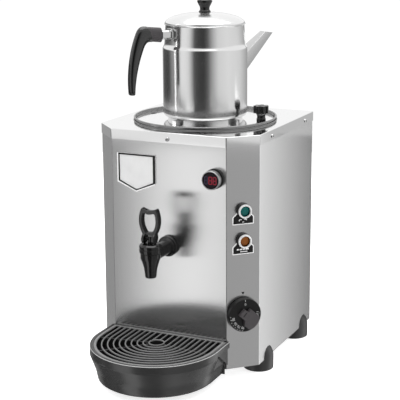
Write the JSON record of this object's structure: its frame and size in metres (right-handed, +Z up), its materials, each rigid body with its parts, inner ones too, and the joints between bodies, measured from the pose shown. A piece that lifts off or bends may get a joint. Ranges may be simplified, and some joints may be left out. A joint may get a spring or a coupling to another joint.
{
  "type": "hot water urn",
  "caption": "Counter-top hot water boiler: chamfered steel body with a lidded tank, a teapot on its lid, a lever tap, a thermostat knob, pilot lamps and a half-round drip tray.",
  "frame": {"origin": "on the floor under the middle of the whole object's bounding box", "axes": "+Z up, -Y is the front with the tap and the drip tray, +X is the side with the pilot lamps and the thermostat knob"},
  "size_m": [0.2936, 0.4544, 0.5922],
  "materials": {
    "sheet_steel": "brushed stainless sheet",
    "polished_steel": "polished stainless sheet",
    "fastener_steel": "zinc-bright steel",
    "element_steel": "dark sheathed steel",
    "brass": "turned brass",
    "black_plastic": "smooth black moulding",
    "chrome_trim": "bright trim ring",
    "label_black": "printed black plate",
    "rubber": "black rubber",
    "green_lens": "tinted lens",
    "amber_lens": "tinted lens",
    "meter_window": "dark tinted window",
    "housing_plastic": "pale moulding"
  },
  "bodies": {
    "urn_body": {"body_wrap": "sheet_steel", "back_panel": "sheet_steel", "bottom_plate": "sheet_steel", "badge_plate": "sheet_steel", "tank_stand": "sheet_steel", "top_cover": "polished_steel", "tank": "polished_steel", "cover_screws": "fastener_steel", "back_panel_screws": "fastener_steel", "foot_screws": "fastener_steel", "thermostat_screws": "fastener_steel", "tap_spring": "fastener_steel", "outlet_pipe": "fastener_steel", "thermometer_probe": "fastener_steel", "safety_cutout": "fastener_steel", "heating_element": "element_steel", "element_plug": "brass", "thermostat_bulb": "brass", "left_feet": "black_plastic", "right_feet": "black_plastic", "tap_body": "black_plastic", "tap_bonnet": "black_plastic", "tap_shank_nut": "black_plastic", "thermometer_nut": "black_plastic", "lamp_nuts": "black_plastic", "cable_gland": "black_plastic", "gland_nut": "black_plastic", "thermometer_housing": "chrome_trim", "lamp_bezels": "chrome_trim", "lamp_labels": "label_black", "tank_seal": "rubber", "tap_gasket": "rubber", "element_gasket": "rubber", "thermometer_gasket": "rubber", "green_lamp_lens": "green_lens", "amber_lamp_lens": "amber_lens", "thermometer_window": "meter_window", "thermostat_body": "housing_plastic", "terminal_block": "housing_plastic"},
    "tap_plunger": {"tap_plunger": "black_plastic", "tap_seat_cup": "rubber", "tap_pin": "fastener_steel"},
    "tap_lever": {"tap_lever": "black_plastic"},
    "thermostat_knob": {"thermostat_knob": "black_plastic", "thermostat_spindle": "fastener_steel"},
    "tank_lid": {"tank_lid": "polished_steel", "pot_stand": "polished_steel", "lid_knob": "black_plastic", "lid_knob_stud": "fastener_steel"},
    "teapot": {"teapot_body": "polished_steel", "teapot_spout": "polished_steel", "handle_bracket": "polished_steel", "teapot_handle": "black_plastic", "handle_screw": "fastener_steel"},
    "teapot_lid": {"teapot_lid": "polished_steel", "teapot_lid_knob": "black_plastic", "teapot_lid_screw": "fastener_steel"},
    "drip_tray": {"drip_tray": "black_plastic"},
    "drip_grill": {"drip_grill": "black_plastic"}
  },
  "joints": [
    {"name": "tap_plunger_lift", "type": "slide", "parent": "urn_body", "child": "tap_plunger", "axis": [0, 0, 1], "range_m": [0, 0.00318], "deforming": ["tap_spring"]},
    {"name": "tap_lever_tilt", "type": "hinge", "parent": "tap_plunger", "child": "tap_lever", "pos_m": [0, -0.13775, 0.2398], "axis": [1, 0, 0], "range_deg": [0, 45], "stiffness_Nm_per_rad": 0.05, "springref_deg": -5.73},
    {"name": "thermostat_knob_turn", "type": "hinge", "parent": "urn_body", "child": "thermostat_knob", "pos_m": [0.1193, -0.05505, 0.1095], "axis": [0.7071, -0.7071, 0], "range_deg": [-270, 0]},
    {"name": "tank_lid_lift", "type": "slide", "parent": "urn_body", "child": "tank_lid", "axis": [0, 0, 1], "range_m": [0, 0.12]},
    {"name": "teapot_lift", "type": "slide", "parent": "tank_lid", "child": "teapot", "axis": [0, 0, 1], "range_m": [0, 0.15]},
    {"name": "teapot_lid_lift", "type": "slide", "parent": "teapot", "child": "teapot_lid", "axis": [0, 0, 1], "range_m": [0, 0.06]},
    {"name": "drip_tray_slide", "type": "slide", "parent": "urn_body", "child": "drip_tray", "axis": [0, -1, 0], "range_m": [0, 0.12]},
    {"name": "drip_grill_lift", "type": "slide", "parent": "drip_tray", "child": "drip_grill", "axis": [0, 0, 1], "range_m": [0, 0.05]}
  ],
  "couplings": [
    {"joint": "tap_lever_tilt", "follows": "tap_plunger_lift", "rad_per_m": 247}
  ]
}
